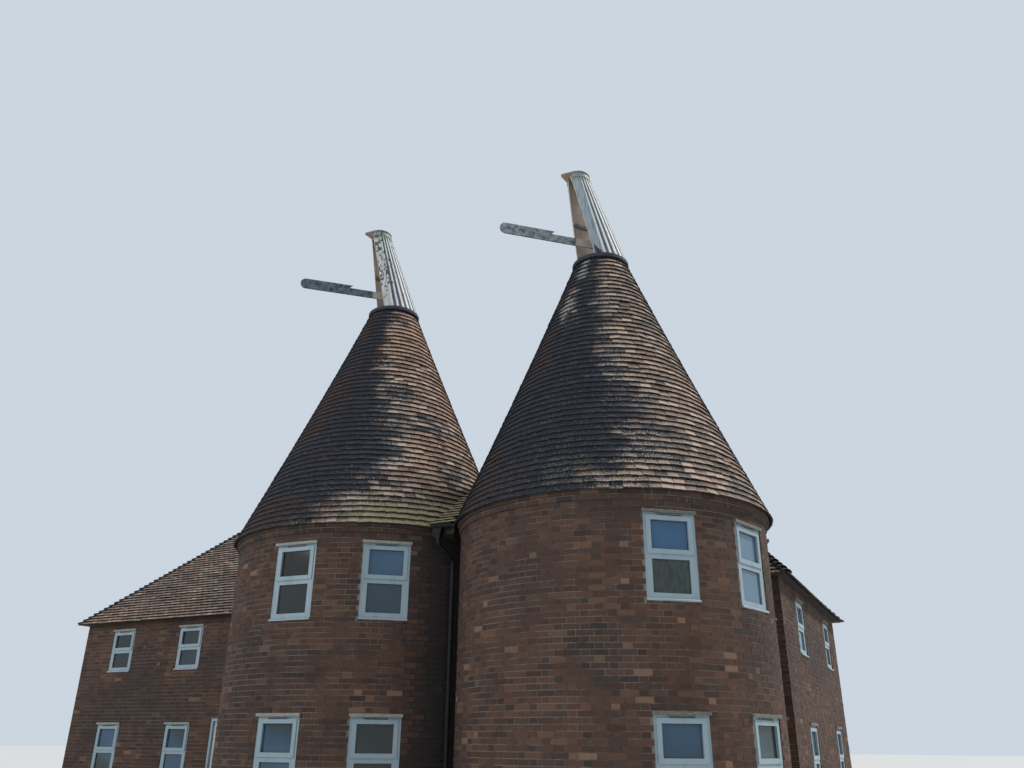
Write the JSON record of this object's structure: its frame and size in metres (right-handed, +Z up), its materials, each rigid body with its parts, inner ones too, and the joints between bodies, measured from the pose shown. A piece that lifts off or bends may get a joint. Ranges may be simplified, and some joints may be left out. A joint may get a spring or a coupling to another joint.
{
  "type": "oast house with twin round kilns",
  "caption": "Brick oast house: two round kilns with tall tiled cones and turning white cowls, against a long hipped store building.",
  "frame": {"origin": "ground level, midway between the centres of the two round kilns", "axes": "+Z up; +X along the line of kiln centres, from the left kiln to the right one; the kilns' front faces -Y"},
  "size_m": [16.48, 10.7, 11.042],
  "materials": {
    "brick": "rough red-brown brick with dark headers",
    "roof_tile": "weathered clay peg tile",
    "dark_kerb": "sooty weathered ring",
    "timber": "sawn",
    "concrete": "floated",
    "window_white": "white frame",
    "window_glass": "clear",
    "painted_wood": "weathered white paint",
    "black_plastic": "black"
  },
  "bodies": {
    "building": {"right_kiln_wall_front": "brick", "right_kiln_wall_right": "brick", "right_kiln_wall_back": "brick", "right_kiln_wall_left": "brick", "right_kiln_corbel": "brick", "right_kiln_roof": "roof_tile", "right_kiln_kerb": "dark_kerb", "right_kiln_upper_floor": "timber", "right_kiln_ground_floor": "concrete", "right_kiln_beams": "timber", "right_kiln_windows": "window_white", "right_kiln_glass": "window_glass", "left_kiln_wall_front": "brick", "left_kiln_wall_right": "brick", "left_kiln_wall_back": "brick", "left_kiln_wall_left": "brick", "left_kiln_corbel": "brick", "left_kiln_roof": "roof_tile", "left_kiln_kerb": "dark_kerb", "left_kiln_upper_floor": "timber", "left_kiln_ground_floor": "concrete", "left_kiln_beams": "timber", "left_kiln_windows": "window_white", "left_kiln_glass": "window_glass", "stowage_front_wall": "brick", "stowage_kiln_side_wall": "brick", "stowage_doorway_walls": "brick", "stowage_back_wall": "brick", "stowage_left_wall": "brick", "stowage_right_wall": "brick", "stowage_roof": "roof_tile", "stowage_upper_floor": "timber", "stowage_ground_floor": "concrete", "stowage_windows": "window_white", "stowage_glass": "window_glass", "door_frame": "window_white", "door_leaf": "painted_wood", "infill_roof": "roof_tile", "rainwater_gutter": "black_plastic", "rainwater_pipe": "black_plastic"},
    "right_cowl": {"right_cowl_hood": "painted_wood", "right_cowl_cap": "painted_wood", "right_cowl_post": "timber", "right_cowl_vane": "painted_wood"},
    "left_cowl": {"left_cowl_hood": "painted_wood", "left_cowl_cap": "painted_wood", "left_cowl_post": "timber", "left_cowl_vane": "painted_wood"}
  },
  "joints": [
    {"name": "right_cowl_turn", "type": "hinge", "parent": "building", "child": "right_cowl", "pos_m": [2.13, 0, 9.278], "axis": [0, 0, 1], "continuous": true},
    {"name": "left_cowl_turn", "type": "hinge", "parent": "building", "child": "left_cowl", "pos_m": [-2.13, 0, 9.278], "axis": [0, 0, 1], "continuous": true}
  ]
}
